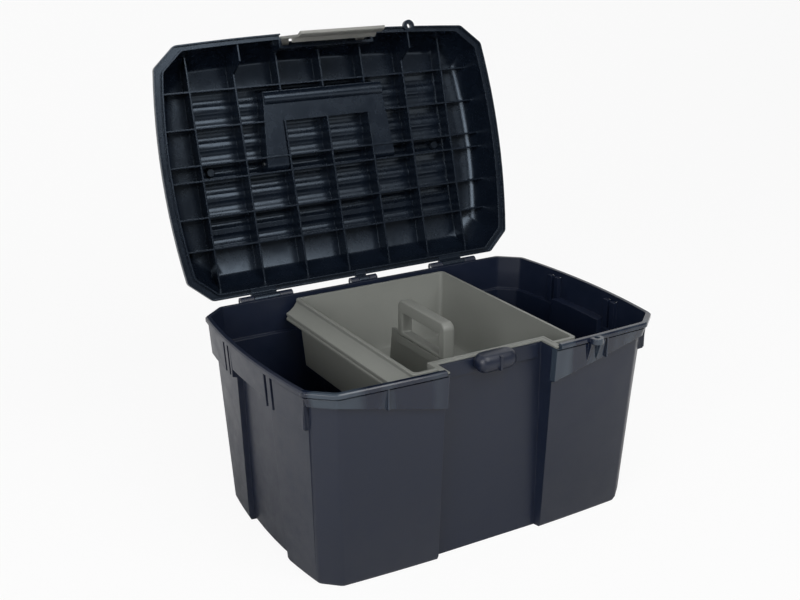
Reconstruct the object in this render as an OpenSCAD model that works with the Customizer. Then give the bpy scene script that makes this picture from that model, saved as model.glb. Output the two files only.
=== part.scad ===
// Grooming box: a deep moulded tub with corner legs and a stepped band under its rim, a ribbed lid that
// stands open on three hinges, a clasp on the lid's front edge, a carry handle folded into the lid's top
// and a lift-out tray. Millimetres, +Z up, front towards -Y. The origin is the middle of the base, on the
// floor. The lid is drawn closed and then turned open about its hinge line.

/* [Tub] */
// Length of the rim over its bowed ends
rim_length = 400; // [360:5:460]
// Depth of the rim from its straight back to its front corners
rim_depth = 254; // [230:2:290]
// Height from the floor to the rim
tub_height = 198; // [175:1:240]
// Length of the base over its bowed ends
base_length = 366; // [340:2:380]
// Depth of the base from its back to its front corners
base_depth = 220; // [206:2:232]
// How far each end bows out at its middle
end_bow = 8; // [4:0.5:12]
// How far the front bows out at its middle
front_bow = 5; // [2:0.5:8]
// Length that a corner cut takes off the front of the rim
corner_cut_x = 23; // [16:1:30]
// Depth that a corner cut takes off the end of the rim
corner_cut_y = 20; // [14:1:26]
// Length that a corner cut takes off the front of the base
base_cut_x = 17.5; // [14:0.5:24]
// Depth that a corner cut takes off the end of the base
base_cut_y = 16; // [12:0.5:22]
// Length of the rounding on each side of an upright corner
corner_round = 2.5; // [1.5:0.5:7]
// Thickness of the moulded walls of the tub and lid
wall = 2.6; // [2:0.1:3.4]
// Thickness of the tub's floor
floor_t = 3; // [2:0.2:5]
// Height of the rounding along the foot of the walls
foot_round = 4; // [1.5:0.5:6]

/* [Band and rim] */
// Height of the band, from its lower edge to the rim
band_h = 38; // [32:0.5:46]
// How far the band stands out from the body
band_step = 4.5; // [3.5:0.1:6]
// How far the band leans in from top to bottom
band_draft = 2.2; // [1:0.1:3]
// Height of the band where it crosses the front corner cuts
band_corner_h = 15; // [12:0.5:24]
// Height of the band over the middle of each end
band_grip_h = 30; // [26:0.5:32]
// Height of the rim bead
bead_h = 5; // [4:0.2:7]
// How far the rim bead stands out from the band
bead_step = 2.2; // [1.4:0.1:3]
// Rounding along the top of the rim bead
bead_round = 1.2; // [0.6:0.1:1.6]
// Height of the groove between the rim bead and the band
bead_groove_h = 1.6; // [1.2:0.1:2.4]
// Depth of the groove between the rim bead and the band
bead_groove_d = 1.2; // [0.6:0.1:1.3]
// Distance of the upright ribs on the front band from the middle
front_rib_x = 120; // [90:1:140]

/* [Legs] */
// Half width of the sunk middle of each end at the floor
end_panel_w = 44; // [40:1:52]
// Half width of the sunk middle of each end under the band
end_panel_top_w = 37; // [34:1:42]
// How far the middle of each end is sunk between the legs
end_panel_d = 5.5; // [4:0.5:7]
// Half width of the sunk middle of the back
back_panel_w = 59; // [50:1:70]
// How far the middle of the back is sunk
back_panel_d = 2; // [0.5:0.5:2.5]

/* [Hand grips] */
// Distance between the two grooves of a pair
groove_gap = 11; // [9:0.5:14]
// Width of each groove
groove_w = 4.5; // [3:0.5:6]
// Depth of each groove into the band
groove_d = 3; // [2:0.2:3.6]

/* [Latch recess] */
// Half width of the recess in the front of the tub
recess_w = 59; // [57:0.5:64]
// Depth of the recess behind the rim at the middle of the front
recess_d = 26; // [24:0.5:28]
// Slope across each side wall of the recess
recess_slope = 1.5; // [0.5:0.5:3]
// How far the recess wall stops below the rim
recess_drop = 4.5; // [4:0.1:6]
// Height of the raised strip along the top of the recess
recess_strip_h = 14; // [10:1:18]
// Radius of the catch blister
catch_r = 10; // [8:0.5:11]
// Width of the catch blister between its round ends
catch_w = 23; // [16:1:44]
// Distance of the catch below the rim
catch_drop = 8; // [7:0.5:10]
// Thickness of the fin on the catch
catch_fin_t = 2.4; // [1.6:0.2:4]

/* [Lid] */
// How far the lid stands open, in degrees from closed
lid_open = 106; // [80:1:112]
// How far the lid's flange overhangs the rim
lid_over = 1.5; // [0.5:0.1:2.5]
// Thickness of the lid's flange
flange_t = 5; // [4:0.2:7]
// Width of the flange outside the wall, along the front and back
flange_w = 3.5; // [3:0.1:5]
// Width of the flange outside the wall, along the ends
flange_end_w = 6.5; // [5:0.1:8]
// Depth of the groove under the flange
flange_groove_d = 3; // [1.5:0.1:3.2]
// Thickness of the lips beside the groove
flange_lip = 1.5; // [1.2:0.1:1.8]
// Height of the lid from its flange to the top
lid_height = 44.5; // [40:0.5:52]
// Height of the lid's shoulder above its flange
shoulder_h = 26; // [23:0.5:30]
// How far the front and back walls lean in up to the shoulder
shoulder_y = 3.5; // [2:0.5:6]
// How far the end walls lean in up to the shoulder
shoulder_x = 4.4; // [2:0.2:6]
// How far the shoulder slopes in to the top, along the front and back
slope_y = 11.5; // [8:0.5:14]
// How far the shoulder slopes in to the top, along the ends
slope_x = 4; // [3:0.5:7]
// Rounding along the edge of the top
top_round = 1.8; // [1:0.2:3]
// How far the hollow rounds in to the panel, along the ends
end_round = 13; // [8:1:15]
// How far the hollow rounds in to the panel, along the front and back
front_round = 3; // [2:0.5:5]

/* [Lid ribs and flutes] */
// Distance between the long ribs
rib_pitch = 50.5; // [48.5:0.1:52]
// Thickness of the ribs
rib_t = 1.6; // [1.4:0.1:2.4]
// Height of the free edge of the ribs above the flange's underside
rib_edge = 24; // [21:0.5:26]
// Distance between the two cross ribs at the handle's pivots
pivot_row = 16; // [15:0.5:18]
// Distance between the other cross ribs
row_pitch = 37.5; // [36:0.5:39]
// Distance between the last two cross ribs, by the hinges
rear_row = 33; // [30:0.5:36]
// Height of the flutes in the top panel
flute_h = 2.3; // [1.4:0.1:2.4]
// Width of the flat bar between two flutes
flute_bar = 5; // [4:0.5:7]
// Distance between flutes, before it is fitted to the rows of ribs
flute_pitch = 18.5; // [17:0.5:20]
// Depth of the tall ribs beside the latch, from the lid's front wall
tall_rib_d = 25; // [18:1:30]
// Radius of the round bosses on the panel
boss_r = 4; // [3:0.5:5]
// Distance of the round bosses from the middle
boss_x = 137; // [125:1:142]

/* [Hinges] */
// Distance of the hinge line behind the rim
hinge_back = 7; // [6.6:0.1:9]
// Distance of the hinge line below the rim
hinge_drop = 2.5; // [2:0.1:3.5]
// Outer radius of the knuckles
knuckle_r = 4.6; // [4.2:0.1:5]
// Radius of the hinge pins
hinge_pin_r = 2; // [1.5:0.1:2.6]
// Distance of the side hinges from the ends of the rim
hinge_in = 86; // [75:1:110]
// Width of each side hinge
hinge_w = 58; // [44:1:66]
// Width of the lid's knuckle in a side hinge
hinge_lid_w = 28; // [18:1:36]
// Width of the centre hinge
centre_hinge_w = 31; // [27:1:40]
// Width of the lid's knuckle in the centre hinge
centre_lid_w = 12; // [9:1:14]

/* [Latch] */
// Half width of the latch
latch_w = 49; // [40:0.5:51]
// Thickness of the latch plate
latch_t = 3; // [2.4:0.1:3.4]
// How far the closed latch leans in towards its lower edge, in degrees
latch_lean = 7; // [4:0.5:9]
// How far the latch hangs below the rim
latch_hang = 39.5; // [36:0.5:44]
// Half width of the notch in the lid for the latch
notch_w = 53; // [52:0.5:54]
// Depth of the notch behind the lid's front edge
notch_d = 13; // [12.6:0.1:15]
// Height of the notch above the lid's flange
notch_h = 19.5; // [19:0.5:21]
// Distance of the latch pivot behind the lid's front edge
latch_pivot_back = 8; // [7.6:0.1:8.4]
// Height of the latch pivot above the rim
latch_pivot_up = 11; // [10:0.5:12]
// Outer radius of the latch knuckles
latch_knuckle_r = 4; // [3.6:0.1:4.4]
// Width of each latch knuckle
latch_knuckle_w = 8; // [6:0.5:10]
// Radius of the latch pivot pins
latch_pin_r = 1.8; // [1.4:0.1:2.2]
// Depth of the pivot bosses inside the lid
latch_boss_d = 4; // [3:0.5:6]

/* [Carry handle] */
// Distance from the handle's pivots to the middle of the grip
handle_reach = 54.5; // [48:0.5:56]
// Depth of the grip, front to back
grip_w = 16; // [14:0.5:18]
// Thickness of the handle
handle_t = 14; // [12:0.5:14.5]
// Distance of the legs' inner sides from the middle
leg_x = 56; // [55:0.5:60]
// Width of each leg at the grip
leg_w = 11; // [9:0.5:13]
// Width of each leg at its pivot
leg_pivot_w = 18; // [14:0.5:20]
// Distance of the pivots in front of the middle of the box
handle_pivot_front = 3; // [1:0.5:4]
// Width of the finger channel in front of the grip
finger_w = 10; // [8:0.5:12]
// Depth of the finger channel below the recess
finger_d = 3.5; // [2:0.5:4]
// Room round the handle in its recess
handle_room = 1.5; // [1:0.1:2]
// Thickness of the recess walls and floor
pocket_wall = 2.4; // [1.8:0.1:2.8]
// Radius of the handle's pivot pins
handle_pin_r = 2.5; // [1.8:0.1:3]

/* [Tray] */
// Width of the tray at its rim
tray_width = 178; // [172:1:190]
// Depth of the tray below its rim
tray_h = 76; // [60:1:85]
// Distance of the tray's rim below the tub's rim
tray_drop = 2; // [1.5:0.1:2.6]
// Thickness of the tray's walls
tray_wall = 2.2; // [1.8:0.1:2.8]
// How much further than the tub's front and back the tray's walls lean in from rim to floor
tray_lean = 1.2; // [0.6:0.1:2.4]
// How far the tray's rim bead stands out
tray_bead = 1.2; // [0.6:0.1:1.6]
// Height of the tray's rim bead
tray_bead_h = 3.2; // [2:0.1:4.5]
// Rounding between the tray's walls and floor
tray_round = 8; // [4:0.5:9]
// Length of the rounding on each side of the tray's upright corners
tray_corner_r = 5; // [2:0.5:6]
// Width of the sloping side flange
side_flange_w = 12.5; // [9:0.5:15]
// Drop of the sloping side flange
side_flange_h = 13; // [9:0.5:16]
// Height of the lip along the side flange
side_lip_h = 7.5; // [5:0.5:10]
// Height of the divider above the tray's floor
divider_h = 40; // [30:1:46]
// Distance of the divider's back end from the middle
divider_back = 70; // [60:1:80]
// Distance of the divider's front end from the middle
divider_front = 66; // [50:1:72]
// Thickness of the divider
divider_t = 3; // [2:0.2:4]
// Length of the hoop handle
hoop_l = 88; // [80:1:100]
// Distance of the middle of the hoop behind the middle of the box
hoop_y = 7; // [0:1:12]
// Height of the hoop above the tray's rim
hoop_up = 4; // [0:0.5:8]
// Width of the hoop across its bar
hoop_t = 12.4; // [9:0.2:16]
// Thickness of the hoop's top bar
hoop_bar = 13; // [9:0.5:15]
// Width of each hoop leg
hoop_leg = 9; // [7:0.5:14]
// Radius of the hoop's outer corners
hoop_r = 8; // [4:0.5:8.5]
// Distance of the tray's rear feet from the middle
foot_x = 58; // [40:1:70]
// Width of each rear foot
foot_w = 16; // [10:1:24]

/* [Padlock eye] */
// Distance of the padlock eye from the middle
eye_x = 103; // [80:1:112]
// Radius of the padlock holes
eye_hole_r = 2.6; // [2:0.1:3.2]
// Outer radius of the padlock eye
eye_r = 6.5; // [6:0.1:8]
// Thickness of the padlock eye
eye_t = 4; // [3:0.2:4.6]

/* [Clearances] */
// Gap between the closed lid and the rim
lid_gap = 0.5; // [0.4:0.05:0.8]
// Running clearance of the pins, on the radius
pin_clear = 0.05; // [0.02:0.01:0.09]
// Side gap between neighbouring knuckles
knuckle_gap = 0.5; // [0.4:0.05:0.8]
// Gap between the seated tray and the tub
tray_gap = 0.3; // [0.25:0.05:0.6]
// Side gap between the tray and the recess
tray_side_gap = 0.9; // [0.6:0.1:1.4]

/* [Hidden] */
$fn = 48;
navy = "#14181f";
grey = "#8d8f88";
pale_grey = "#b4b3ad";
steel = "#9a9c9f";
side_steps = 4;
over = 1;
sink = 0.4;
bead_ease = 0.5;

// Plan outlines, each [end corner X, side Y, corner cut X, corner cut Y]
rim_plan = [rim_length / 2 - end_bow, rim_depth / 2, corner_cut_x, corner_cut_y];
base_plan = [base_length / 2 - end_bow, base_depth / 2, base_cut_x, base_cut_y];
band_top_plan = inset(rim_plan, bead_step);
band_low_plan = inset(rim_plan, bead_step + band_draft);
body_plan = inset(band_low_plan, band_step);
flange_plan = inset(rim_plan, -lid_over);
lid_wall_plan = narrow(flange_plan, flange_end_w, flange_w);
shoulder_plan = narrow(lid_wall_plan, shoulder_x, shoulder_y);
top_plan = narrow(shoulder_plan, slope_x, slope_y);

// Heights of the tub and of the closed lid
band_z = tub_height - band_h;
bead_z = tub_height - bead_h;
lid_z = tub_height + lid_gap;
shoulder_z = lid_z + shoulder_h;
top_z = lid_z + lid_height;
panel_z = top_z - wall;
rib_z = lid_z + rib_edge;

// Latch recess, notch and catch
rim_front = rim_depth / 2 + front_bow;
recess_y = rim_front - recess_d;
recess_top = tub_height - recess_drop;
lid_front = rim_front + lid_over;
notch_y = lid_front - notch_d;
notch_z = lid_z + notch_h;
catch_z = tub_height - catch_drop;
latch_pivot = [latch_pivot_back - lid_front, tub_height + latch_pivot_up];
latch_lead = 2;
latch_face = latch_pivot[0] - latch_knuckle_r - latch_lead;
latch_back = latch_face + latch_t;
fin_gap = 0.6;
fin_stand = 0.9;
fin_drop = 0.7 * catch_r;
fin_front = latch_back_at(catch_z - fin_drop) + fin_gap;
catch_y = fin_front + fin_stand + catch_r;
strip_t = 2;
strip_end = 6;
hook_gap = 1;
hook_z = catch_z - fin_drop - hook_gap;
hook_d = 4.5;
hook_in = latch_back + hook_d;
hook_h = 5;
hook_edge = 1;
lip_d = 3;
lip_h = 8;
lip_edge = 2;

// Hinge line
hinge_x = rim_length / 2 - hinge_in;
hinge = [rim_depth / 2 + hinge_back, tub_height - hinge_drop];

// Carry handle and its recess in the lid's top
handle_sink = 1;
handle_pivot = [-handle_pivot_front, top_z - handle_sink - handle_t / 2];
handle_low = handle_pivot[1] - handle_t / 2;
grip_y = handle_pivot[0] - handle_reach;
pocket_z = handle_low - handle_sink;
pocket_front = grip_y - grip_w / 2 - finger_w;
pocket_bar_back = grip_y + grip_w / 2 + handle_room;
pocket_back = handle_pivot[0] + handle_t / 2 + handle_room;
pin_in = leg_x - handle_room - pocket_wall;
pin_out = leg_x + leg_pivot_w + handle_room + pocket_wall;
finger_y = pocket_front + finger_w / 2;
finger_r = (pow(finger_w / 2, 2) + pow(finger_d, 2)) / (2 * finger_d);

// Rows of cross ribs, from the front to the hinges
pivot_row_back = 2;
row_mid = handle_pivot[0] + pivot_row_back;
front_row = row_mid - pivot_row / 2;
back_row = row_mid + pivot_row / 2;
rows = [front_row - 2 * row_pitch, front_row - row_pitch, front_row,
        back_row, back_row + row_pitch, back_row + row_pitch + rear_row];
columns = [-3, -2, -1, 0, 1, 2, 3];
flutes = [for (i = [0 : len(rows) - 2])
          let (a = rows[i], b = rows[i + 1], n = max(1, round((b - a) / flute_pitch)))
          for (k = [0 : n - 1])
          [lerp(a, b, k / n) + flute_bar / 2, lerp(a, b, (k + 1) / n) - flute_bar / 2]];
flute_x = 3 * rib_pitch - rib_t;

// Tray
tray_z = tub_height - tray_drop;
tray_floor = tray_z - tray_h;
tub_fall = tray_h * (body_plan[1] - base_plan[1]) / band_z;
tray_draft = tray_lean + max(0, tub_fall);
tray_back = body_plan[1] - wall - 0.5;
tray_front = body_plan[1] - wall + 1.5;
tray_step_y = recess_y - wall - tray_side_gap;
tray_step_x = recess_w + wall + tray_side_gap;
ledge_z = band_z + wall;
ledge_y = band_low_plan[1] - wall;

// Padlock eye
eye_y = -front_y_at(flange_plan, eye_x) - 0.4;

// The back of the closed latch at a height
function latch_back_at(z) =
    latch_pivot[0] + (latch_back - latch_pivot[0]) / cos(latch_lean)
    + (latch_pivot[1] - z) * tan(latch_lean);

function lerp(a, b, t) = a + (b - a) * t;
function unit(v) = v / norm(v);
function bezier(a, c, b, t) = lerp(lerp(a, c, t), lerp(c, b, t), t);
function steps(a, b) = [for (i = [0 : side_steps]) lerp(a, b, i / side_steps)];

// A plan moved in by the same distance all round, so that the cut corners keep their wall
function inset(o, d) =
    let (h = norm([o[2], o[3]]))
    [o[0] - d, o[1] - d, o[2] - d * (1 - (h - o[2]) / o[3]), o[3] - d * (1 - (h - o[3]) / o[2])];

// A plan made shorter and shallower by different distances, with the same cut corners
function narrow(o, dx, dy) = [o[0] - dx, o[1] - dy, o[2], o[3]];

// The bowed front's distance from the middle, and the bowed end's
function front_y_at(o, x) = o[1] + front_bow * (1 - pow(x / (o[0] - o[2]), 2));
function end_x_at(o, y) = o[0] + end_bow * (1 - pow(y / (o[1] - o[3]), 2));

// Marks on the points of a ring, for the lower edge of the band
at_side = 0;
at_cut = 1;
at_front = 2;
at_grip = 3;
at_recess = 4;

function rounded(c, a, b, marks) =
    [for (i = [0 : 4])
     let (q = bezier(c + corner_round * unit(a - c), c, c + corner_round * unit(b - c), i / 4))
     [q[0], q[1], marks[i]]];
function flat(p) = [p[0], p[1]];
function middle(side) = [for (i = [1 : len(side) - 2]) side[i]];
function last(list) = list[len(list) - 1];

// One ring of points round the box, anticlockwise from the front left corner. Each sunk panel is
// [half width, slope of its sides, depth]. The front one has its floor's distance from the middle in place
// of a depth, or 0 where the front has no recess.
function ring(o, front_panel, end_panel, back_panel) =
    let (fx = o[0] - o[2], ey = o[1] - o[3], f = front_panel, e = end_panel, b = back_panel,
         front = concat([for (x = steps(-fx, -f[0])) [x, -front_y_at(o, x), at_front]],
                        [for (x = steps(-f[0] + f[1], f[0] - f[1]))
                         [x, f[2] == 0 ? -front_y_at(o, x) : -f[2], at_recess]],
                        [for (x = steps(f[0], fx)) [x, -front_y_at(o, x), at_front]]),
         right = concat([for (y = steps(-ey, -e[0])) [end_x_at(o, y), y, at_side]],
                        [for (y = steps(-e[0] + e[1], e[0] - e[1])) [end_x_at(o, y) - e[2], y, at_grip]],
                        [for (y = steps(e[0], ey)) [end_x_at(o, y), y, at_side]]),
         back = concat([for (x = steps(fx, b[0])) [x, o[1], at_side]],
                       [for (x = steps(b[0] - b[1], b[1] - b[0])) [x, o[1] - b[2], at_side]],
                       [for (x = steps(-b[0], -fx)) [x, o[1], at_side]]),
         left = [for (i = [len(right) - 1 : -1 : 0]) [-right[i][0], right[i][1], right[i][2]]],
         plain = [for (i = [0 : 4]) at_side],
         cut = [for (i = [0 : 4]) at_front],
         corner = [for (i = [0 : 3]) at_cut])
    concat(rounded(flat(front[0]), flat(last(left)), flat(front[1]), cut),
           middle(front),
           rounded(flat(last(front)), flat(front[len(front) - 2]), flat(right[0]), cut),
           rounded(flat(right[0]), flat(last(front)), flat(right[1]), concat(corner, [at_side])),
           middle(right),
           rounded(flat(last(right)), flat(right[len(right) - 2]), flat(back[0]), plain),
           rounded(flat(back[0]), flat(last(right)), flat(back[1]), plain),
           middle(back),
           rounded(flat(last(back)), flat(back[len(back) - 2]), flat(left[0]), plain),
           rounded(flat(left[0]), flat(last(back)), flat(left[1]), plain),
           middle(left),
           rounded(flat(last(left)), flat(left[len(left) - 2]), flat(front[0]), concat([at_side], corner)));

function at_height(points, z) = [for (p = points) [p[0], p[1], z]];

// The lower edge of the band: level at the back and ends, raised over the grips and the front corner
// cuts, and sloping down along the front to the recess
function band_edge(p) =
    p[2] == at_cut ? tub_height - band_corner_h
    : p[2] == at_grip ? tub_height - band_grip_h
    : p[2] == at_front
    ? lerp(band_z, tub_height - band_corner_h,
           max(0, min(1, (abs(p[0]) - recess_w) / (body_plan[0] - body_plan[2] - recess_w))))
    : band_z;
function along_band(points, rise) = [for (p = points) [p[0], p[1], band_edge(p) + rise]];

// A closed solid through rings of equal count, from the lowest to the highest
module loft(rings) {
    n = len(rings[0]);
    top = len(rings) - 1;
    low_cap = [[for (i = [0 : n - 1]) i]];
    top_cap = [[for (i = [n - 1 : -1 : 0]) top * n + i]];
    sides = [for (k = [0 : top - 1], i = [0 : n - 1], half = [0, 1])
             let (a = k * n + i, b = k * n + (i + 1) % n)
             half == 0 ? [a, a + n, b + n] : [a, b + n, b]];
    polyhedron([for (r = rings) for (p = r) p], concat(low_cap, sides, top_cap), convexity = 10);
}

// Cuts a solid off level below one height and above another
module cut_flat(low, high) {
    difference() {
        children();
        box([-rim_length, -rim_length, low - rim_length], [rim_length, rim_length, low]);
        box([-rim_length, -rim_length, high], [rim_length, rim_length, high + rim_length]);
    }
}

// A level plate inside a ring
module plate(points, low, high) {
    translate([0, 0, low]) linear_extrude(high - low) polygon([for (p = points) [p[0], p[1]]]);
}

module along_x(from, to) {
    translate([from, 0, 0]) rotate([90, 0, 90]) linear_extrude(to - from) children();
}

module rod_x(from, to, centre, r) {
    translate([from, centre[0], centre[1]]) rotate([0, 90, 0]) cylinder(r = r, h = to - from);
}

module box(low, high) {
    translate(low) cube(high - low);
}

module both_sides() {
    children();
    mirror([1, 0, 0]) children();
}

// Turns what is drawn closed open about the hinge line
module opened() {
    translate([0, hinge[0], hinge[1]])
        rotate([-lid_open, 0, 0])
        translate([0, -hinge[0], -hinge[1]])
        children();
}

// Tub
body_recess = [recess_w, recess_slope, recess_y];
inner_recess = [recess_w + wall, recess_slope, recess_y - wall];
no_end_panel = [end_panel_top_w, 1, 0];
no_back_panel = [back_panel_w, 1, 0];

function leg_panel(w, deep, grow) = [w + grow, 1, deep];

module tub_outside() {
    foot_end = leg_panel(end_panel_w, end_panel_d, 0);
    foot_back = leg_panel(back_panel_w, back_panel_d, 0);
    foot = ring(base_plan, body_recess, foot_end, foot_back);
    sole = ring(inset(base_plan, foot_round / 2), body_recess, foot_end, foot_back);
    top_end = leg_panel(end_panel_top_w, end_panel_d, 0);
    body = ring(body_plan, body_recess, top_end, foot_back);
    band_low = ring(band_low_plan, body_recess, no_end_panel, no_back_panel);
    band_top = ring(band_top_plan, body_recess, no_end_panel, no_back_panel);
    groove = ring(inset(band_top_plan, bead_groove_d), body_recess, no_end_panel, no_back_panel);
    bead = ring(rim_plan, body_recess, no_end_panel, no_back_panel);
    crown = ring(inset(rim_plan, bead_round), body_recess, no_end_panel, no_back_panel);
    groove_z = bead_z - bead_groove_h;
    cut_flat(0, tub_height)
        loft([at_height(sole, -over), at_height(sole, 0), at_height(foot, foot_round),
              along_band(body, -band_step / 3), along_band(band_low, 0), at_height(band_top, groove_z),
              at_height(groove, groove_z + bead_ease), at_height(groove, bead_z),
              at_height(bead, bead_z + bead_ease), at_height(bead, tub_height - bead_round),
              at_height(crown, tub_height), at_height(crown, tub_height + over)]);
}

module tub_inside() {
    base_in = inset(base_plan, wall);
    foot_end = leg_panel(end_panel_w, end_panel_d, wall);
    foot_back = leg_panel(back_panel_w, back_panel_d, wall);
    floor_ring = ring(inset(base_in, foot_round), inner_recess, foot_end, foot_back);
    foot = ring(base_in, inner_recess, foot_end, foot_back);
    top_end = leg_panel(end_panel_top_w, end_panel_d, wall);
    body = ring(inset(body_plan, wall), inner_recess, top_end, foot_back);
    band_low = ring(inset(band_low_plan, wall), inner_recess, no_end_panel, no_back_panel);
    mouth = ring(inset(rim_plan, bead_step + wall), inner_recess, no_end_panel, no_back_panel);
    loft([at_height(floor_ring, floor_t - over), at_height(floor_ring, floor_t),
          at_height(foot, floor_t + foot_round), along_band(body, wall - bead_ease),
          along_band(band_low, wall), at_height(mouth, tub_height + over)]);
}

// The floor runs into the middle of the walls
module tub_floor() {
    floor_recess = [recess_w + wall / 2, recess_slope, recess_y - wall / 2];
    floor_end = leg_panel(end_panel_w, end_panel_d, wall / 2);
    floor_back = leg_panel(back_panel_w, back_panel_d, wall / 2);
    plate(ring(inset(base_plan, foot_round), floor_recess, floor_end, floor_back), sink, floor_t);
}

// The two pairs of grooves on each end's band, or the pads behind them
module grip_grooves(pads) {
    for (side = [-1, 1], pair = [-1, 1], k = [0, 1]) {
        y = pair * (end_panel_top_w + groove_w + k * groove_gap);
        x = end_x_at(band_low_plan, y);
        low = pads ? band_z + wall : band_z - over;
        near = pads ? x - groove_d - wall : x - groove_d + band_draft / 2;
        far = pads ? x - wall / 2 : x + band_draft + bead_step + over;
        grow = pads ? wall / 2 : 0;
        mirror([side < 0 ? 1 : 0, 0, 0])
        box([near, y - groove_w / 2 - grow, low], [far, y + groove_w / 2 + grow, bead_z - bead_ease]);
    }
}

module tub_knuckles() {
    groups = [[-hinge_x, hinge_w, hinge_lid_w],
              [0, centre_hinge_w, centre_lid_w],
              [hinge_x, hinge_w, hinge_lid_w]];
    for (g = groups, side = [-1, 1]) {
        inner = g[0] + side * (g[2] / 2 + knuckle_gap);
        outer = g[0] + side * g[1] / 2;
        a = min(inner, outer);
        b = max(inner, outer);
        rod_x(a, b, hinge, knuckle_r);
        box([a, band_top_plan[1] - wall / 2, hinge[1] - knuckle_r], [b, hinge[0], hinge[1]]);
    }
}

module hinge_bores(r) {
    for (g = [[-hinge_x, hinge_w], [0, centre_hinge_w], [hinge_x, hinge_w]])
        rod_x(g[0] - g[1] / 2 - over, g[0] + g[1] / 2 + over, hinge, r);
}

// The catch and its fin, cut clear of the closed lid and of the tray's front rim, and the sloping strip
// behind them
module tub_catch() {
    root = wall / 2 - recess_y;
    strip_low = recess_top - recess_strip_h;
    strip_top = recess_top - over;
    difference() {
        union() {
            hull() both_sides() translate([catch_w / 2, catch_y, catch_z]) sphere(r = catch_r, $fn = 24);
            box([-catch_fin_t / 2, fin_front, catch_z - fin_drop],
                [catch_fin_t / 2, root, catch_z + fin_drop]);
        }
        box([-recess_w, -lid_front, tub_height], [recess_w, 0, tub_height + catch_r]);
        box([-recess_w, -recess_y, recess_top], [recess_w, 0, tub_height + over]);
        box([-recess_w, root, catch_z - catch_r - over], [recess_w, 0, recess_top + over]);
    }
    along_x(strip_end - recess_w, recess_w - strip_end)
        polygon([[root, strip_low], [-recess_y - strip_t, strip_low],
                 [-recess_y - strip_t, strip_low + over], [-recess_y - sink, strip_top], [root, strip_top]]);
}

// A short upright rib on each end where the band steps up to the front corner
corner_rib_w = 2.4;
corner_rib_h = 19;
corner_rib_d = 1.4;

module corner_ribs() {
    y = corner_round + band_low_plan[3] - band_low_plan[1];
    x = end_x_at(band_low_plan, y);
    low = band_z + over;
    both_sides()
        box([x - wall / 2, y, low], [x + corner_rib_d, y + corner_rib_w, low + corner_rib_h]);
}

// The tab under the lid's padlock eye, on two upright gussets
gusset_h = 20;
gusset_nose = 3;

module padlock_tab() {
    band_y = front_y_at(band_top_plan, eye_x);
    translate([eye_x, eye_y, bead_z - over]) cylinder(r = eye_r, h = bead_h + over - sink);
    box([eye_x - eye_r, eye_y, bead_z - over], [eye_x + eye_r, -band_y + wall / 2, tub_height - sink]);
    for (x = [eye_x - eye_r, eye_x + eye_r - rib_t])
        along_x(x, x + rib_t)
        polygon([[eye_y, tub_height - over], [eye_y, bead_z - gusset_nose],
                 [wall / 2 - band_y, bead_z - gusset_h], [wall / 2 - band_y, tub_height - over]]);
}

// The upright ribs on the front band
front_rib_t = 1.8;
front_rib_d = 0.9;

module front_ribs() {
    band_y = front_y_at(band_low_plan, front_rib_x);
    both_sides()
        box([front_rib_x - front_rib_t / 2, -band_y - band_draft - front_rib_d, band_z + band_h / 3],
            [front_rib_x + front_rib_t / 2, wall / 2 - band_y, bead_z + over]);
}

module tub() color(navy) {
    difference() {
        union() {
            difference() {
                union() {
                    tub_outside();
                    tub_knuckles();
                }
                tub_inside();
                grip_grooves(false);
                box([-tray_step_x, -rim_front - over, recess_top],
                    [tray_step_x, wall + over - recess_y, tub_height + over]);
            }
            tub_floor();
            grip_grooves(true);
            tub_catch();
            padlock_tab();
            front_ribs();
            corner_ribs();
        }
        hinge_bores(hinge_pin_r);
        translate([eye_x, eye_y, band_z]) cylinder(r = eye_hole_r, h = band_h + over);
    }
}

// Lid
no_recess = [notch_w, 1, 0];

function lid_ring(plan) = ring(plan, no_recess, no_end_panel, no_back_panel);

// The notch that the latch turns in, grown on every side but the front
module latch_notch(g) {
    box([-notch_w - g, -lid_front - over, lid_z - 2 * over], [notch_w + g, g - notch_y, notch_z + g]);
}

module lid_outside() {
    flange = lid_ring(flange_plan);
    foot = lid_ring(lid_wall_plan);
    crown = lid_ring(inset(top_plan, top_round));
    difference() {
        cut_flat(lid_z, top_z)
            loft([at_height(flange, lid_z - over), at_height(flange, lid_z + flange_t - bead_ease),
                  at_height(foot, lid_z + flange_t), at_height(lid_ring(shoulder_plan), shoulder_z),
                  at_height(lid_ring(top_plan), top_z - top_round), at_height(crown, top_z),
                  at_height(crown, top_z + over)]);
        latch_notch(0);
    }
}

// Where the hollow's round begins, as a share of the slope between the shoulder and the panel
round_from = 0.3;
round_steps = 4;

module lid_inside() {
    mouth = lid_ring(inset(lid_wall_plan, wall));
    shoulder = inset(shoulder_plan, wall);
    low = shoulder_z - wall / 2;
    panel = narrow(inset(top_plan, wall), end_round, front_round);
    rounds = [for (i = [0 : round_steps])
              let (t = i / round_steps,
                   dx = bezier(round_from * slope_x, slope_x, slope_x + end_round, t),
                   dy = bezier(round_from * slope_y, slope_y, slope_y + front_round, t))
              at_height(lid_ring(narrow(shoulder, dx, dy)),
                        bezier(lerp(low, panel_z, round_from), panel_z, panel_z, t))];
    difference() {
        loft(concat([at_height(mouth, lid_z - over), at_height(mouth, lid_z + flange_t),
                     at_height(lid_ring(shoulder), low)],
                    rounds, [at_height(lid_ring(panel), panel_z + over)]));
        latch_notch(wall);
    }
}

// The groove under the flange, above the tub's rim
module lid_groove() {
    roof = lid_z + flange_groove_d;
    difference() {
        plate(lid_ring(inset(flange_plan, flange_lip)), lid_z - over, roof);
        plate(lid_ring(inset(lid_wall_plan, wall - flange_lip)), lid_z - 2 * over, roof + over);
    }
}

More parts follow.
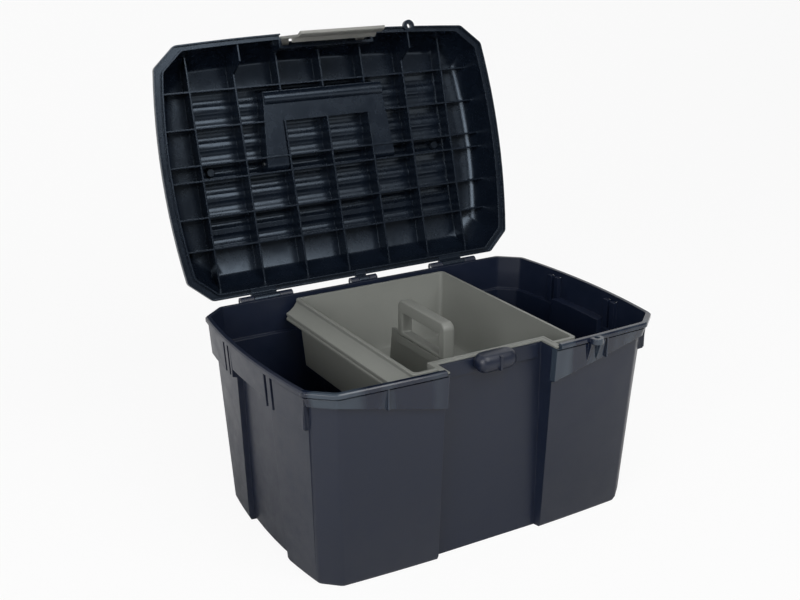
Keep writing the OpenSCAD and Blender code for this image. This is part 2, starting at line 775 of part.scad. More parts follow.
// The top panel runs into the middle of the walls
module lid_panel() {
    inner = lerp(top_round, wall, 0.4);
    plate(lid_ring(inset(top_plan, inner)), panel_z, top_z - sink);
}

// The flutes as bars along the box: their tops, or the hollows below them
module flute_bars(base, low) {
    for (f = flutes)
        along_x(-flute_x, flute_x)
        polygon(concat([for (i = [0 : 8]) [lerp(f[0], f[1], i / 8), base + flute_h * sin(180 * i / 8)]],
                       [[f[1], low], [f[0], low]]));
}

// The plan of the handle's recess, grown on every side
function pocket_plan(g) =
    let (room = handle_room + g, x0 = leg_x + leg_w + room, x1 = leg_x + leg_pivot_w + room,
         xi = leg_x - room, y0 = pocket_front - g, y1 = pocket_bar_back + g, y2 = pocket_back + g)
    [[-x0, y0], [x0, y0], [x1, y2], [xi, y2], [xi, y1], [-xi, y1], [-xi, y2], [-x1, y2]];

// What rounds off the ends of the recess's legs, under the handle's pivots
module pocket_heels(g) {
    reach = leg_x + leg_pivot_w + handle_room + g + over;
    difference() {
        box([-reach, handle_pivot[0], lid_z - over], [reach, pocket_back + g + over, handle_pivot[1]]);
        rod_x(-reach - over, reach + over, handle_pivot, handle_t / 2 + handle_room + g);
    }
}

module pocket(g, low, high) {
    difference() {
        translate([0, 0, low]) linear_extrude(high - low) polygon(pocket_plan(g));
        pocket_heels(g);
    }
}

// A rib's ends run into the middle of the lid's wall, and its upper edge into the panel
rib_top = panel_z + flute_h + 0.1;
rib_root = wall / 2;
rib_crown = top_round + wall / 2;

module long_rib(x) {
    along_x(x - rib_t / 2, x + rib_t / 2)
        polygon([[rib_root - front_y_at(shoulder_plan, x), rib_z], [shoulder_plan[1] - rib_root, rib_z],
                 [shoulder_plan[1] - rib_root, shoulder_z - rib_root], [top_plan[1] - rib_crown, rib_top],
                 [rib_crown - front_y_at(top_plan, x), rib_top],
                 [rib_root - front_y_at(shoulder_plan, x), shoulder_z - rib_root]]);
}

module cross_rib(y) {
    low_x = end_x_at(shoulder_plan, y) - rib_root;
    top_x = end_x_at(top_plan, y) - rib_crown;
    translate([0, y + rib_t / 2, 0]) rotate([90, 0, 0]) linear_extrude(rib_t)
        polygon([[-low_x, rib_z], [low_x, rib_z], [low_x, shoulder_z - rib_root], [top_x, rib_top],
                 [-top_x, rib_top], [-low_x, shoulder_z - rib_root]]);
}

// The tall front ends of the ribs beside the latch
tall_columns = [-2, 2];
tall_rib_rise = 2;
tall_rib_slope = 11;

module tall_rib(x) {
    low = lid_z + tall_rib_rise;
    end_y = tall_rib_d - lid_front;
    along_x(x - rib_t / 2, x + rib_t / 2)
        polygon([[rib_root - front_y_at(lid_wall_plan, x), low], [end_y, low],
                 [end_y + tall_rib_slope, rib_z + over],
                 [rib_root - front_y_at(shoulder_plan, x), rib_z + over]]);
}

// The rib in front of the handle's pivots runs on across the legs of the recess
module lid_ribs() {
    difference() {
        union() {
            for (c = columns) long_rib(c * rib_pitch);
            for (y = rows) if (y != front_row) cross_rib(y);
            for (c = tall_columns) tall_rib(c * rib_pitch);
        }
        pocket(pocket_wall, lid_z, top_z + over);
    }
    difference() {
        cross_rib(front_row);
        pocket(pocket_wall, pocket_z - pocket_wall / 2, top_z + over);
    }
}

module lid_knuckles() {
    groups = [[-hinge_x, hinge_lid_w], [0, centre_lid_w], [hinge_x, hinge_lid_w]];
    root = lid_wall_plan[1] - wall / 2;
    low = lid_z + sink / 2;
    high = lid_z + flange_t - over;
    for (g = groups) {
        a = g[0] - g[1] / 2;
        b = g[0] + g[1] / 2;
        rod_x(a, b, hinge, knuckle_r);
        along_x(a, b)
            polygon([[root, high], [root, low], [hinge[0] - knuckle_r * 0.7, low], hinge,
                     [hinge[0] + knuckle_r, hinge[1]], [hinge[0] + knuckle_r, lid_z + over],
                     [hinge[0] + over, high]]);
    }
}

module latch_bosses() {
    both_sides() rod_x(notch_w + sink / 2, notch_w + wall + latch_boss_d, latch_pivot, latch_knuckle_r);
}

// The finger channel in front of the grip, grown on every side
module finger_channel(g) {
    reach = leg_x + leg_w + handle_room + g;
    rod_x(-reach, reach, [finger_y, pocket_z - finger_d + finger_r], finger_r + g);
}

module lid_closed() {
    difference() {
        union() {
            difference() {
                union() {
                    difference() {
                        lid_outside();
                        lid_inside();
                        lid_groove();
                    }
                    lid_panel();
                    difference() {
                        flute_bars(top_z, top_z - wall / 2);
                        pocket(pocket_wall, top_z - wall, top_z + flute_h + over);
                    }
                }
                difference() {
                    flute_bars(panel_z, panel_z - over);
                    pocket(pocket_wall, panel_z - wall, top_z + flute_h);
                }
            }
            lid_ribs();
            pocket(pocket_wall, pocket_z - pocket_wall, top_z);
            finger_channel(pocket_wall);
            lid_knuckles();
            latch_bosses();
            translate([eye_x, eye_y, lid_z + sink]) cylinder(r = eye_r, h = eye_t);
            both_sides()
                translate([boss_x, row_mid, panel_z - boss_r]) cylinder(r = boss_r, h = boss_r + wall / 2);
        }
        pocket(0, pocket_z, top_z + flute_h + over);
        finger_channel(0);
        hinge_bores(hinge_pin_r + pin_clear);
        both_sides() rod_x(notch_w - over, notch_w + wall + latch_boss_d + over, latch_pivot, latch_pin_r);
        both_sides() rod_x(pin_in - over, pin_out + over, handle_pivot, handle_pin_r);
        translate([eye_x, eye_y, lid_z - over]) cylinder(r = eye_hole_r, h = eye_t + 2 * over);
    }
}

module lid() color(navy) opened() lid_closed();

// Latch: a plate on two knuckles, with a finger lip along its lower edge and a hook behind it
module latch_closed() {
    low = tub_height - latch_hang;
    high = latch_pivot[1] + latch_knuckle_r / 2;
    translate([0, latch_pivot[0], latch_pivot[1]])
    rotate([latch_lean, 0, 0])
    translate([0, -latch_pivot[0], -latch_pivot[1]])
    difference() {
        union() {
            along_x(-latch_w, latch_w)
                polygon([[latch_face, high], [latch_face, low + lip_h],
                         [latch_face - lip_d, low + lip_edge], [latch_face - lip_d, low],
                         [latch_face, low], [latch_back, low + lip_h - lip_edge],
                         [latch_back, hook_z - hook_h], [hook_in, hook_z - hook_edge], [hook_in, hook_z],
                         [latch_back, hook_z], [latch_back, high]]);
            both_sides() {
                rod_x(latch_w - latch_knuckle_w, latch_w, latch_pivot, latch_knuckle_r);
                box([latch_w - latch_knuckle_w, latch_face + sink, latch_pivot[1] - latch_knuckle_r],
                    [latch_w, latch_pivot[0], latch_pivot[1]]);
            }
        }
        rod_x(-latch_w - over, latch_w + over, latch_pivot, latch_pin_r + pin_clear);
    }
}

module latch() color(pale_grey) opened() latch_closed();

// Carry handle: a bar with round edges between two splayed legs
module carry_handle_closed() {
    heel = handle_t / 2;
    difference() {
        union() {
            rod_x(-leg_x - leg_w, leg_x + leg_w, [grip_y - grip_w / 2 + heel, handle_pivot[1]], heel);
            rod_x(-leg_x - leg_w, leg_x + leg_w, [grip_y + grip_w / 2 - heel, handle_pivot[1]], heel);
            box([-leg_x - leg_w, grip_y - grip_w / 2 + heel, handle_low],
                [leg_x + leg_w, grip_y + grip_w / 2 - heel, handle_low + handle_t]);
            both_sides() {
                translate([0, 0, handle_low]) linear_extrude(handle_t)
                    polygon([[leg_x, grip_y], [leg_x + leg_w, grip_y],
                             [leg_x + leg_pivot_w, handle_pivot[0]], [leg_x, handle_pivot[0]]]);
                rod_x(leg_x, leg_x + leg_pivot_w, handle_pivot, heel);
            }
        }
        both_sides()
            rod_x(leg_x - over, leg_x + leg_pivot_w + over, handle_pivot, handle_pin_r + pin_clear);
    }
}

module carry_handle() color(pale_grey) opened() carry_handle_closed();

// Pins, each pressed into what carries it
pin_short = 0.5;
pin_stub = 1.5;

module hinge_pin(x, w) color(steel)
    rod_x(x - w / 2 + pin_short, x + w / 2 - pin_short, hinge, hinge_pin_r);

module hinge_pin_left() hinge_pin(-hinge_x, hinge_w);

module hinge_pin_centre() hinge_pin(0, centre_hinge_w);

module hinge_pin_right() hinge_pin(hinge_x, hinge_w);

module latch_pin(side) color(steel) opened() mirror([side < 0 ? 1 : 0, 0, 0])
    rod_x(latch_w - latch_knuckle_w, notch_w + wall + latch_boss_d, latch_pivot, latch_pin_r);

module latch_pin_left() latch_pin(-1);

module latch_pin_right() latch_pin(1);

module handle_pin(side) color(steel) opened() mirror([side < 0 ? 1 : 0, 0, 0])
    rod_x(pin_in - pin_stub, pin_out, handle_pivot, handle_pin_r);

module handle_pin_left() handle_pin(-1);

module handle_pin_right() handle_pin(1);

// Tray
function tray_corner(c, a, b) =
    let (from = c + tray_corner_r * unit(a - c), to = c + tray_corner_r * unit(b - c))
    [for (i = [0 : 4]) bezier(from, c, to, i / 4)];

// A ring round the tray, d inside its rim
function tray_ring(d, z) =
    let (w = tray_width / 2 - d, b = tray_back - d, f = d - tray_front,
         c = [[-w, f], [w, f], [w, b], [-w, b]])
    [for (i = [0 : 3])
     for (q = tray_corner(c[i], c[(i + 3) % 4], c[(i + 1) % 4])) [q[0], q[1], z]];

// The room in front of the tray that the latch recess takes
module tray_step(grow, low, high) {
    box([-tray_step_x - grow, -tray_front - tray_bead - over, low],
        [tray_step_x + grow, grow - tray_step_y, high]);
}

// The middle of the tray's back wall at a height
function tray_back_at(z) =
    tray_back - tray_wall / 2 - tray_draft * (tray_z - z) / (tray_h - tray_round / 2);

module tray_bowl() {
    inner = tray_draft + tray_wall;
    difference() {
        loft([tray_ring(tray_draft + tray_round / 2, tray_floor),
              tray_ring(tray_draft, tray_floor + tray_round / 2),
              tray_ring(0, tray_z - tray_bead_h - tray_bead), tray_ring(-tray_bead, tray_z - tray_bead_h),
              tray_ring(-tray_bead, tray_z - sink), tray_ring(sink - tray_bead, tray_z)]);
        tray_step(0, tray_floor - over, tray_z + over);
        difference() {
            loft([tray_ring(inner + tray_round, tray_floor + tray_wall),
                  tray_ring(inner + tray_round * 0.3, tray_floor + tray_wall + tray_round * 0.3),
                  tray_ring(inner, tray_floor + tray_wall + tray_round),
                  tray_ring(tray_wall, tray_z + over)]);
            tray_step(tray_wall, tray_floor, tray_z + 2 * over);
        }
    }
}

// The sloping flange with its lip along each side
flange_end_gap = 2;
lip_groove_d = 0.9;

module tray_side_flanges() {
    top_x = tray_width / 2 - tray_wall / 2;
    out_x = tray_width / 2 + side_flange_w;
    slope_z = tray_z - side_flange_h;
    lip_z = slope_z - side_lip_h;
    from = [tray_width / 2 + tray_bead, tray_z - tray_bead_h];
    to = [out_x, slope_z];
    hollow = lerp(from, to, 0.5) - [2, 2];
    groove_x = out_x - lip_groove_d;
    groove_z = slope_z - side_lip_h / 3;
    both_sides()
        translate([0, tray_back - flange_end_gap, 0])
        rotate([90, 0, 0])
        linear_extrude(tray_back + tray_front - 2 * flange_end_gap)
        polygon(concat([[top_x, from[1]]], [for (i = [0 : 6]) bezier(from, hollow, to, i / 6)],
                       [[out_x, groove_z], [groove_x, groove_z - lip_groove_d],
                        [groove_x, groove_z - 2 * lip_groove_d], [out_x, groove_z - 3 * lip_groove_d],
                        [out_x, lip_z], [out_x - tray_wall, lip_z],
                        [out_x - tray_wall, slope_z - tray_wall / 2],
                        hollow - [tray_wall, tray_wall], [top_x, from[1] - tray_wall * 1.6]]));
}

// The front rim that lies on the recess wall, and the lugs that hook over the recess's ends
lug_over = 0.8;

module tray_front_rim() {
    low = recess_top + tray_gap;
    high = tray_z - sink;
    inner = tray_wall / 2 - tray_step_y;
    lug_front = front_y_at(inset(band_top_plan, wall), tray_step_x) - 1.5 * tray_side_gap;
    box([-tray_step_x - tray_wall / 2, sink - recess_y, low], [tray_step_x + tray_wall / 2, inner, high]);
    both_sides() {
        box([recess_w - lug_over, -lug_front, low], [tray_step_x + tray_wall, inner, high]);
        box([recess_w - lug_over, over - front_y_at(band_top_plan, recess_w), low],
            [tray_step_x - tray_side_gap, inner, high]);
    }
}

// Rear feet that stand on the ledge inside the tub's back wall
foot_h = 5;
foot_top_drop = 12;

module tray_feet() {
    low = ledge_z + tray_gap;
    high = tray_z - foot_top_drop;
    end_y = ledge_y - tray_side_gap;
    both_sides()
        along_x(foot_x - foot_w / 2, foot_x + foot_w / 2)
        polygon([[tray_back_at(low), low], [end_y, low], [end_y, low + foot_h],
                 [tray_back_at(high) + tray_wall, high], [tray_back_at(high), high]]);
}

// The divider on the tray's floor, wider at its foot
divider_flare = 5;
divider_top = tray_floor + tray_wall + divider_h;

module tray_divider() {
    low = tray_floor + tray_wall / 2;
    along_x(-divider_t / 2, divider_t / 2)
        polygon([[-divider_front - divider_flare, low], [divider_back + divider_flare, low],
                 [divider_back, divider_top], [-divider_front, divider_top]]);
}

// The block round the top of the divider that carries the hoop
module hoop_block() {
    box([-hoop_t / 2, hoop_y - hoop_l / 2, divider_top - hoop_leg],
        [hoop_t / 2, hoop_y + hoop_l / 2, divider_top]);
}

module tray() color(grey) {
    tray_bowl();
    tray_side_flanges();
    tray_front_rim();
    tray_feet();
    tray_divider();
    hoop_block();
}

// Hoop: the tray's handle, which stands on the block
hoop_sill = 4;

module tray_hoop() color(grey) {
    low = divider_top;
    top = tray_z + hoop_up;
    hole_low = divider_top + hoop_sill;
    along_x(-hoop_t / 2, hoop_t / 2)
        translate([hoop_y, 0])
        difference() {
            union() {
                translate([-hoop_l / 2, low]) square([hoop_l, top - hoop_r - low]);
                translate([hoop_r - hoop_l / 2, low]) square([hoop_l - 2 * hoop_r, top - low]);
                for (side = [-1, 1])
                    translate([side * (hoop_l / 2 - hoop_r), top - hoop_r]) circle(r = hoop_r);
            }
            translate([hoop_leg - hoop_l / 2, hole_low])
                square([hoop_l - 2 * hoop_leg, top - hoop_bar - hole_low]);
        }
}

tub();
lid();
tray();
tray_hoop();
latch();
carry_handle();
hinge_pin_left();
hinge_pin_centre();
hinge_pin_right();
latch_pin_left();
latch_pin_right();
handle_pin_left();
handle_pin_right();
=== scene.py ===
import math

import bpy
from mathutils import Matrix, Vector

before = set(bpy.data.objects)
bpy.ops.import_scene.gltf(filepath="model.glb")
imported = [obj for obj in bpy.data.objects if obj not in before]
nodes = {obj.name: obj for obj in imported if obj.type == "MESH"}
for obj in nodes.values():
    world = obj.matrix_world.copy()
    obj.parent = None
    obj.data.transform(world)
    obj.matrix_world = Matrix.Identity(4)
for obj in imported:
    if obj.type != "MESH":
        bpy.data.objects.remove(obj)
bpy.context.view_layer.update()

# Tub: one deep injection moulding in navy polypropylene, with four corner legs and a band under its rim.
# The steel mould leaves a fine satin grain, edges rounded by under a millimetre, and walls that pull in
# very slightly as they cool. Its front band is polished, and paler upright streaks are painted on it as
# highlights.
MM = 0.001


def linear(hex_colour):
    """The linear colour of an sRGB hex value."""
    parts = [int(hex_colour[i:i + 2], 16) / 255 for i in (1, 3, 5)]
    return [c / 12.92 if c <= 0.04045 else ((c + 0.055) / 1.055) ** 2.4 for c in parts] + [1.0]


def add(tree, kind, settings=None, values=None, links=None):
    """Adds a node to a tree, with its settings, the values of its sockets and the links into them."""
    node = tree.nodes.new(kind)
    for name, value in (settings or {}).items():
        setattr(node, name, value)
    for name, value in (values or {}).items():
        node.inputs[name].default_value = value
    for name, (source, output) in (links or {}).items():
        tree.links.new(source.outputs[output], node.inputs[name])
    return node


def new_material(name):
    """An empty material with its node tree."""
    material = bpy.data.materials.new(name)
    material.use_nodes = True
    material.node_tree.nodes.clear()
    return material, material.node_tree


# The front band lies on both sides of the latch recess, and its lower edge rises towards the corners
BAND_START_X = 58.5 * MM
BAND_FRONT_Y = -103 * MM
BAND_EDGE_X = (59 * MM, 165.7 * MM)
BAND_EDGE_Z = (160 * MM, 183 * MM)


def front_band(tree, place):
    """A share that is 1 on the tub's front band and 0 elsewhere."""
    spot = add(tree, "ShaderNodeSeparateXYZ", links={"Vector": (place, "Object")})
    across = add(tree, "ShaderNodeMath", {"operation": "ABSOLUTE"}, links={0: (spot, "X")})
    edge = add(tree, "ShaderNodeMapRange",
               values={"From Min": BAND_EDGE_X[0], "From Max": BAND_EDGE_X[1],
                       "To Min": BAND_EDGE_Z[0], "To Max": BAND_EDGE_Z[1]},
               links={"Value": (across, "Value")})
    above = add(tree, "ShaderNodeMath", {"operation": "GREATER_THAN"},
                links={0: (spot, "Z"), 1: (edge, "Result")})
    beside = add(tree, "ShaderNodeMath", {"operation": "GREATER_THAN"}, {1: BAND_START_X},
                 {0: (across, "Value")})
    before = add(tree, "ShaderNodeMath", {"operation": "LESS_THAN"}, {1: BAND_FRONT_Y}, {0: (spot, "Y")})
    band = add(tree, "ShaderNodeMath", {"operation": "MULTIPLY"},
               links={0: (above, "Value"), 1: (beside, "Value")})
    return add(tree, "ShaderNodeMath", {"operation": "MULTIPLY"},
               links={0: (band, "Value"), 1: (before, "Value")})


# Paler upright streaks, some 30 mm apart, are painted on the polished band as highlights
PAINTED_HIGHLIGHT_TONE = "#333d48"
STREAK_GAP = 30 * MM
STREAK_SHIFT = 770 * MM
STREAK_SQUEEZE = 0.1
STREAK_FROM, STREAK_FULL = 0.45, 0.62


def painted_highlight_streaks(tree, place):
    """A share that rises from 0 to 1 in upright streaks, where paler highlights are painted."""
    upright = add(tree, "ShaderNodeMapping",
                  values={"Location": (STREAK_SHIFT, 0, 0), "Scale": (1, 1, STREAK_SQUEEZE)},
                  links={"Vector": (place, "Object")})
    highlight_noise = add(tree, "ShaderNodeTexNoise", values={"Scale": 1 / STREAK_GAP, "Detail": 1.0},
               links={"Vector": (upright, "Vector")})
    return add(tree, "ShaderNodeMapRange", values={"From Min": STREAK_FROM, "From Max": STREAK_FULL},
               links={"Value": (highlight_noise, "Fac")})


POLYPROPYLENE_IOR = 1.49
POLISHED_ROUGHNESS = 0.12
# Handling leaves patches some 18 mm across that are a little shinier or duller than the rest
RUBBED_PATCH = 18 * MM
SHINIER_BY, DULLER_BY = 0.05, 0.07
# Cooling marks are some 70 mm across, and the grain is drawn coarser than the real 0.1 mm so that it shows
COOLING_MARK = 70 * MM
COOLING_DEPTH = 1.2 * MM
GRAIN_DEPTH = 0.15 * MM


def moulded_polypropylene(name, tone, pale_tone, roughness, grain_mm, edge_mm, polished_and_highlit=None, sheen="#ffffff"):
    """Polypropylene from a spark-eroded mould: an even tone, a satin grain, round edges and wavy walls, with a
    polished area that carries painted highlight streaks.
    """
    material, tree = new_material(name)
    place = add(tree, "ShaderNodeTexCoord")
    rub = add(tree, "ShaderNodeTexNoise", values={"Scale": 1 / RUBBED_PATCH, "Detail": 5.0, "Roughness": 0.65},
              links={"Vector": (place, "Object")})
    colour = add(tree, "ShaderNodeMix", {"data_type": "RGBA"}, {"A": linear(tone), "B": linear(pale_tone)},
                 {"Factor": (rub, "Fac")})
    gloss = add(tree, "ShaderNodeMapRange",
                values={"From Min": 0.3, "From Max": 0.7,
                        "To Min": roughness - SHINIER_BY, "To Max": roughness + DULLER_BY},
                links={"Value": (rub, "Fac")})
    finish = (gloss, "Result")
    # A polished area is glossier, and its base colour is paled in upright streaks as painted highlights
    if polished_and_highlit:
        area = polished_and_highlit(tree, place)
        painted_highlights = add(tree, "ShaderNodeMath", {"operation": "MULTIPLY"},
                      links={0: (area, "Value"), 1: (painted_highlight_streaks(tree, place), "Result")})
        colour = add(tree, "ShaderNodeMix", {"data_type": "RGBA"}, {"B": linear(PAINTED_HIGHLIGHT_TONE)},
                     {"A": (colour, "Result"), "Factor": (painted_highlights, "Value")})
        shine = add(tree, "ShaderNodeMath", {"operation": "MULTIPLY_ADD"}, {1: POLISHED_ROUGHNESS - roughness},
                    {0: (area, "Value"), 2: finish})
        finish = (shine, "Value")
    edges = add(tree, "ShaderNodeBevel", {"samples": 6}, {"Radius": edge_mm * MM})
    wave = add(tree, "ShaderNodeTexNoise", values={"Scale": 1 / COOLING_MARK, "Detail": 1.0},
               links={"Vector": (place, "Object")})
    wavy = add(tree, "ShaderNodeBump", values={"Strength": 0.25, "Distance": COOLING_DEPTH},
               links={"Height": (wave, "Fac"), "Normal": (edges, "Normal")})
    grain = add(tree, "ShaderNodeTexNoise", values={"Scale": 1 / (grain_mm * MM), "Detail": 2.0},
                links={"Vector": (place, "Object")})
    bumpy = add(tree, "ShaderNodeBump", values={"Strength": 0.12, "Distance": GRAIN_DEPTH},
                links={"Height": (grain, "Fac"), "Normal": (wavy, "Normal")})
    shader = add(tree, "ShaderNodeBsdfPrincipled",
                 values={"IOR": POLYPROPYLENE_IOR, "Specular Tint": linear(sheen)},
                 links={"Base Color": (colour, "Result"), "Roughness": finish, "Normal": (bumpy, "Normal")})
    add(tree, "ShaderNodeOutputMaterial", links={"Surface": (shader, "BSDF")})
    return material


def wear(piece, material):
    """Gives a piece one material all over."""
    piece.data.materials.clear()
    piece.data.materials.append(material)


def smooth_shading(angle):
    """A node group that shades smoothly across every edge flatter than an angle in degrees."""
    group = bpy.data.node_groups.new("smooth_shading", "GeometryNodeTree")
    group.interface.new_socket("Geometry", in_out="INPUT", socket_type="NodeSocketGeometry")
    group.interface.new_socket("Geometry", in_out="OUTPUT", socket_type="NodeSocketGeometry")
    start = add(group, "NodeGroupInput")
    plain = add(group, "GeometryNodeRemoveAttribute", values={"Name": "custom_normal"},
                links={"Geometry": (start, 0)})
    bend = add(group, "GeometryNodeInputMeshEdgeAngle")
    flat = add(group, "FunctionNodeCompare", {"data_type": "FLOAT", "operation": "LESS_THAN"},
               {"B": math.radians(angle)}, {"A": (bend, "Unsigned Angle")})
    faces = add(group, "GeometryNodeSetShadeSmooth", {"domain": "FACE"}, {"Shade Smooth": True},
                {"Geometry": (plain, "Geometry")})
    edges = add(group, "GeometryNodeSetShadeSmooth", {"domain": "EDGE"},
                links={"Geometry": (faces, "Geometry"), "Shade Smooth": (flat, "Result")})
    add(group, "NodeGroupOutput", links={"Geometry": (edges, "Geometry")})
    return group


WELD_GAP = 0.02 * MM
FLAT_WITHIN = math.radians(0.4)
ROUND_FROM = math.radians(28)


def soften(piece, shading, edge_mm=0):
    """Joins a moulding's faces, rounds its edges if asked, and shades its curved walls smoothly."""
    weld = piece.modifiers.new("weld", "WELD")
    weld.merge_threshold = WELD_GAP
    if edge_mm:
        flat = piece.modifiers.new("flat", "DECIMATE")
        flat.decimate_type = "DISSOLVE"
        flat.angle_limit = FLAT_WITHIN
        rounded = piece.modifiers.new("rounded", "BEVEL")
        rounded.width = edge_mm * MM
        rounded.segments = 3
        rounded.limit_method = "ANGLE"
        rounded.angle_limit = ROUND_FROM
        rounded.use_clamp_overlap = False
    shade = piece.modifiers.new("shade", "NODES")
    shade.node_group = shading


moulded_curves = smooth_shading(30)
navy = moulded_polypropylene("navy_polypropylene", "#0d1526", "#0f182b", roughness=0.4, grain_mm=0.9,
                             edge_mm=0.8, polished_and_highlit=front_band)
wear(nodes["tub"], navy)
soften(nodes["tub"], moulded_curves)

# Hinge pins: three lengths of bright drawn steel wire, pressed into the tub's knuckles, on which the
# lid's knuckles turn. Drawing the wire through its die leaves fine lines along it.
DRAWN_LINE = 0.4 * MM
LINE_STRETCH = 0.02


def drawn_steel(name):
    """Drawn steel wire: bright, with fine lines along its length, which lies across the box."""
    material, tree = new_material(name)
    place = add(tree, "ShaderNodeTexCoord")
    along = add(tree, "ShaderNodeMapping", values={"Scale": (LINE_STRETCH, 1.0, 1.0)},
                links={"Vector": (place, "Object")})
    lines = add(tree, "ShaderNodeTexNoise", values={"Scale": 1 / DRAWN_LINE, "Detail": 2.0},
                links={"Vector": (along, "Vector")})
    colour = add(tree, "ShaderNodeMix", {"data_type": "RGBA"}, {"A": linear("#9a9c9f"), "B": linear("#b9bbbd")},
                 {"Factor": (lines, "Fac")})
    gloss = add(tree, "ShaderNodeMapRange", values={"To Min": 0.22, "To Max": 0.4},
                links={"Value": (lines, "Fac")})
    shader = add(tree, "ShaderNodeBsdfPrincipled", values={"Metallic": 1.0},
                 links={"Base Color": (colour, "Result"), "Roughness": (gloss, "Result")})
    add(tree, "ShaderNodeOutputMaterial", links={"Surface": (shader, "BSDF")})
    return material


steel = drawn_steel("drawn_steel")
for name in ("hinge_pin_left", "hinge_pin_centre", "hinge_pin_right"):
    wear(nodes[name], steel)

# Lid: the same navy polypropylene, a shallow shell stiffened inside by a grid of ribs, with flutes in its
# top panel and a sunk place for the carry handle. Its half of the mould is polished finer, so it is
# glossier, and its gloss has a bluish cast.
glossy_navy = moulded_polypropylene("glossy_navy_polypropylene", "#0c121b", "#0e141e", roughness=0.25,
                                    grain_mm=0.9, edge_mm=0.6, sheen="#d6eaff")
wear(nodes["lid"], glossy_navy)
soften(nodes["lid"], moulded_curves)

# Latch: a plate moulded in pale grey polypropylene that snaps over the tub's catch, with a lip for the
# fingers. It hangs on two steel pins in the lid's notch.
pale = moulded_polypropylene("pale_grey_polypropylene", "#82827e", "#8b8b87", roughness=0.42, grain_mm=0.9,
                             edge_mm=0.6)
wear(nodes["latch"], pale)
soften(nodes["latch"], moulded_curves, edge_mm=0.5)
for name in ("latch_pin_left", "latch_pin_right"):
    wear(nodes[name], steel)

# Carry handle: moulded in the same pale grey as the latch, with a round grip. It is folded into the lid's
# top, and turns on two steel pins.
wear(nodes["carry_handle"], pale)
soften(nodes["carry_handle"], moulded_curves)
for name in ("handle_pin_left", "handle_pin_right"):
    wear(nodes[name], steel)

# Tray: a lift-out bin moulded in warm grey polypropylene, with a divider and sloping side flanges. It is
# duller than the tub, with a coarser grain and softer edges.
grey = moulded_polypropylene("warm_grey_polypropylene", "#737571", "#7a7c77", roughness=0.46, grain_mm=1.0,
                             edge_mm=1.0)
wear(nodes["tray"], grey)
soften(nodes["tray"], moulded_curves)

# Hoop: the tray's handle, moulded in the same warm grey, which stands on the divider. Its edges are
# rounded far enough to suit a hand.
wear(nodes["tray_hoop"], grey)
soften(nodes["tray_hoop"], moulded_curves, edge_mm=1.8)

# Setting: a white sweep of paper under and behind the box, lit by large soft lamps in a dim white room.
# To the camera and in reflections the paper and the room are white, and they throw no more light on the
# box for it.
FLOOR_REACH = 6.0
FLOOR_DROP = 0.5 * MM
SWEEP_BACK = 1.9
SWEEP_RADIUS = 1.1
SWEEP_TOP = 4.0
SWEEP_STEPS = 12


def paper_sweep():
    """The floor and the backdrop as one sheet, with a wide curve between them."""
    bend = SWEEP_BACK - SWEEP_RADIUS
    profile = [(-FLOOR_REACH, 0.0), (bend, 0.0)]
    for i in range(1, SWEEP_STEPS + 1):
        turn = math.radians(90 * i / SWEEP_STEPS)
        profile.append((bend + SWEEP_RADIUS * math.sin(turn), SWEEP_RADIUS * (1 - math.cos(turn))))
    profile.append((SWEEP_BACK, SWEEP_TOP))
    points = [(x, y, z - FLOOR_DROP) for x in (-FLOOR_REACH, FLOOR_REACH) for y, z in profile]
    n = len(profile)
    faces = [(i, i + n, i + n + 1, i + 1) for i in range(n - 1)]
    mesh = bpy.data.meshes.new("paper_sweep")
    mesh.from_pydata(points, [], faces)
    mesh.polygons.foreach_set("use_smooth", [True] * len(faces))
    sweep = bpy.data.objects.new("paper_sweep", mesh)
    bpy.context.scene.collection.objects.link(sweep)
    return sweep


PAPER_MOTTLE = 300 * MM
WHITE_SHARE = 0.92
# Close to the box the mirrored paper keeps its own shade, and from half a metre away it is as white as seen
SHADE_WITHIN = 220 * MM
WHITE_BEYOND = 520 * MM


def white_paper(name):
    """Matt white paper with a faint mottle, which is seen and mirrored as white and keeps its soft shadow."""
    material, tree = new_material(name)
    place = add(tree, "ShaderNodeTexCoord")
    mottle = add(tree, "ShaderNodeTexNoise", values={"Scale": 1 / PAPER_MOTTLE, "Detail": 2.0},
                 links={"Vector": (place, "Object")})
    colour = add(tree, "ShaderNodeMix", {"data_type": "RGBA"}, {"A": linear("#dadada"), "B": linear("#dfdfdf")},
                 {"Factor": (mottle, "Fac")})
    paper = add(tree, "ShaderNodeBsdfPrincipled", values={"Roughness": 0.9, "Specular IOR Level": 0.1},
                links={"Base Color": (colour, "Result")})
    white = add(tree, "ShaderNodeEmission", values={"Color": linear("#ffffff"), "Strength": 1.0})
    path = add(tree, "ShaderNodeLightPath")
    mirrored = add(tree, "ShaderNodeMath", {"operation": "ADD", "use_clamp": True},
                   links={0: (path, "Is Glossy Ray"), 1: (path, "Is Transmission Ray")})
    away = add(tree, "ShaderNodeVectorMath", {"operation": "LENGTH"}, links={0: (place, "Object")})
    far = add(tree, "ShaderNodeMapRange", values={"From Min": SHADE_WITHIN, "From Max": WHITE_BEYOND},
              links={"Value": (away, "Value")})
    faded = add(tree, "ShaderNodeMath", {"operation": "MULTIPLY"},
                links={0: (mirrored, "Value"), 1: (far, "Result")})
    seen = add(tree, "ShaderNodeMath", {"operation": "ADD", "use_clamp": True},
               links={0: (path, "Is Camera Ray"), 1: (faded, "Value")})
    share = add(tree, "ShaderNodeMath", {"operation": "MULTIPLY"}, {1: WHITE_SHARE}, {0: (seen, "Value")})
    shader = add(tree, "ShaderNodeMixShader",
                 links={0: (share, "Value"), 1: (paper, "BSDF"), 2: (white, "Emission")})
    add(tree, "ShaderNodeOutputMaterial", links={"Surface": (shader, "Shader")})
    return material


sweep = paper_sweep()
sweep.data.materials.append(white_paper("white_paper"))


def facing(place, aim):
    """The rotation of a lamp or camera at one point that faces another."""
    return (Vector(aim) - Vector(place)).to_track_quat("-Z", "Y").to_euler()


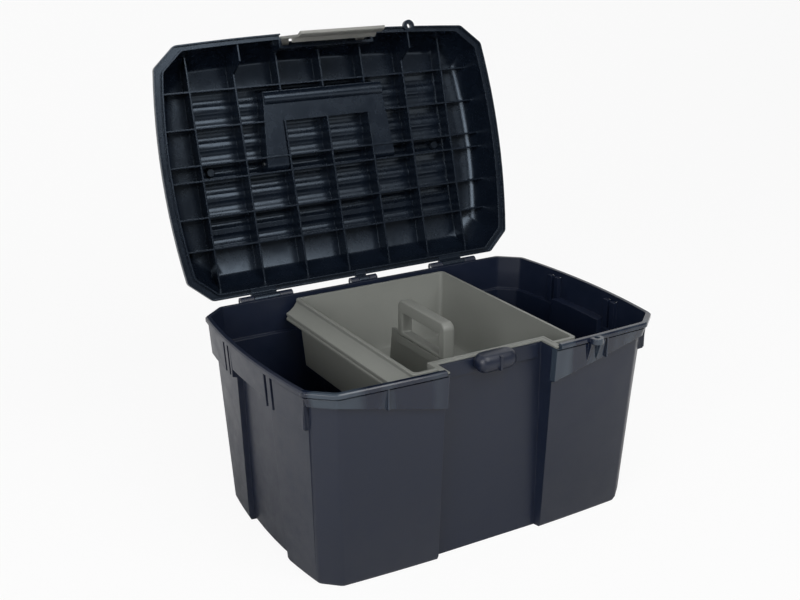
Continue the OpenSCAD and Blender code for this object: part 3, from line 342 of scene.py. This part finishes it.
def soft_lamp(name, place, aim, size, watts):
    """A large soft lamp that faces a point."""
    light = bpy.data.lights.new(name, "AREA")
    light.shape = "RECTANGLE"
    light.size, light.size_y = size
    light.energy = watts
    lamp = bpy.data.objects.new(name, light)
    lamp.location = place
    lamp.rotation_euler = facing(place, aim)
    bpy.context.scene.collection.objects.link(lamp)


MIDDLE = (0, 0.05, 0.2)
soft_lamp("top_lamp", (0, 0.5, 3.0), (0, 0.5, 0), size=(4.0, 4.0), watts=8)
soft_lamp("front_lamp", (0.2, -1.45, 1.75), MIDDLE, size=(1.6, 1.2), watts=30)
soft_lamp("left_lamp", (-1.9, -1.15, 1.05), MIDDLE, size=(1.2, 1.2), watts=30)

ROOM_LIGHT = 0.2
ROOM_WHITE = 0.96
# How far a reflection has to head towards the back to show the room as white
BACKDROP_HEADING = 0.4


def studio_room(name):
    """A dim white room, seen as white, and mirrored as white behind the box, where the backdrop stands."""
    world = bpy.data.worlds.new(name)
    world.use_nodes = True
    tree = world.node_tree
    tree.nodes.clear()
    path = add(tree, "ShaderNodeLightPath")
    heading = add(tree, "ShaderNodeTexCoord")
    side = add(tree, "ShaderNodeSeparateXYZ", links={"Vector": (heading, "Generated")})
    behind = add(tree, "ShaderNodeMapRange", values={"From Max": BACKDROP_HEADING},
                 links={"Value": (side, "Y")})
    mirrored = add(tree, "ShaderNodeMath", {"operation": "ADD", "use_clamp": True},
                   links={0: (path, "Is Glossy Ray"), 1: (path, "Is Transmission Ray")})
    seen = add(tree, "ShaderNodeMath", {"operation": "MULTIPLY_ADD", "use_clamp": True},
               links={0: (mirrored, "Value"), 1: (behind, "Result"), 2: (path, "Is Camera Ray")})
    strength = add(tree, "ShaderNodeMapRange", values={"To Min": ROOM_LIGHT, "To Max": ROOM_WHITE},
                   links={"Value": (seen, "Value")})
    room = add(tree, "ShaderNodeBackground", values={"Color": linear("#ffffff")},
               links={"Strength": (strength, "Result")})
    add(tree, "ShaderNodeOutputWorld", links={"Surface": (room, "Background")})
    return world


bpy.context.scene.world = studio_room("studio")

# Camera: above the box and to the left of its front, with its place and lens fitted to corner points of
# the box in the photograph.
CAMERA_AT = (-0.58911, -0.93883, 0.60325)
CAMERA_AIM = (-0.03328, 0.0, 0.21913)
LENS_MM = 53.95
SENSOR_MM = 36
camera_data = bpy.data.cameras.new("camera")
camera_data.sensor_width = SENSOR_MM
camera_data.lens = LENS_MM
camera = bpy.data.objects.new("camera", camera_data)
camera.location = CAMERA_AT
camera.rotation_euler = facing(CAMERA_AT, CAMERA_AIM)
bpy.context.scene.collection.objects.link(camera)
bpy.context.scene.camera = camera
bpy.context.scene.view_settings.view_transform = "Standard"
